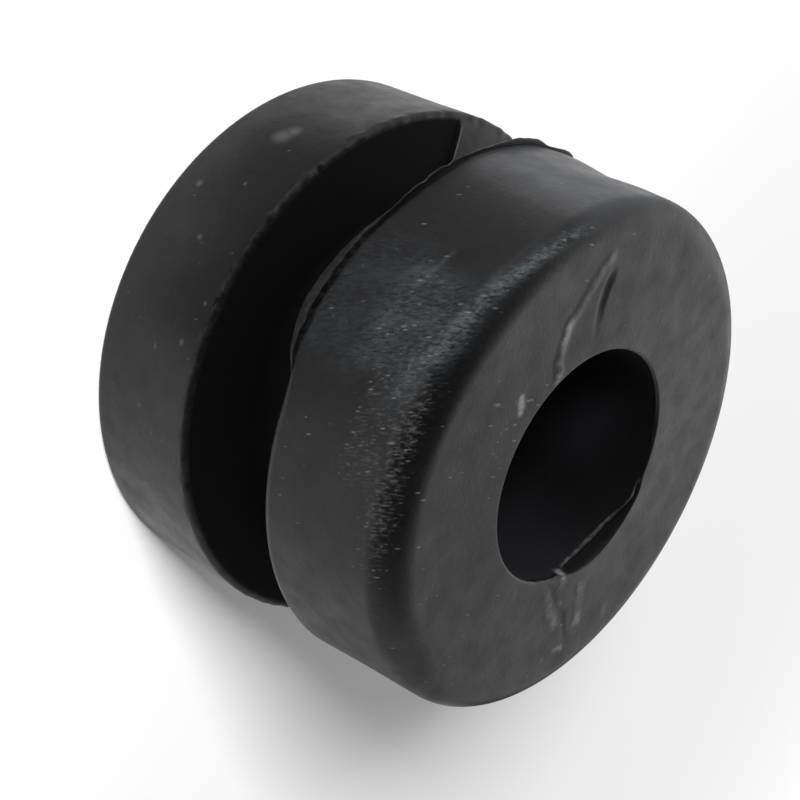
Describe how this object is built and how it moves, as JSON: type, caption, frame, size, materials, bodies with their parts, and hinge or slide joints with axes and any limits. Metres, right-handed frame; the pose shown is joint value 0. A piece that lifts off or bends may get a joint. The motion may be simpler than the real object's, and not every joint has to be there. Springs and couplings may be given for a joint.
{
  "type": "rubber grommet",
  "caption": "Thick black rubber grommet with two flanges, a deep groove for the edge of a plate and a round bore right through.",
  "frame": {"origin": "centre of the base flange's flat face, which the grommet stands on", "axes": "+Z along the bore towards the flange with the well rounded edge, +X through the larger crease in the top face"},
  "size_m": [0.0186, 0.0186, 0.013],
  "materials": {
    "rubber": "matt black moulded rubber with a grey bloom, dust specks and flash left at the parting lines"
  },
  "bodies": {
    "root": {"grommet": "rubber"}
  },
  "joints": []
}
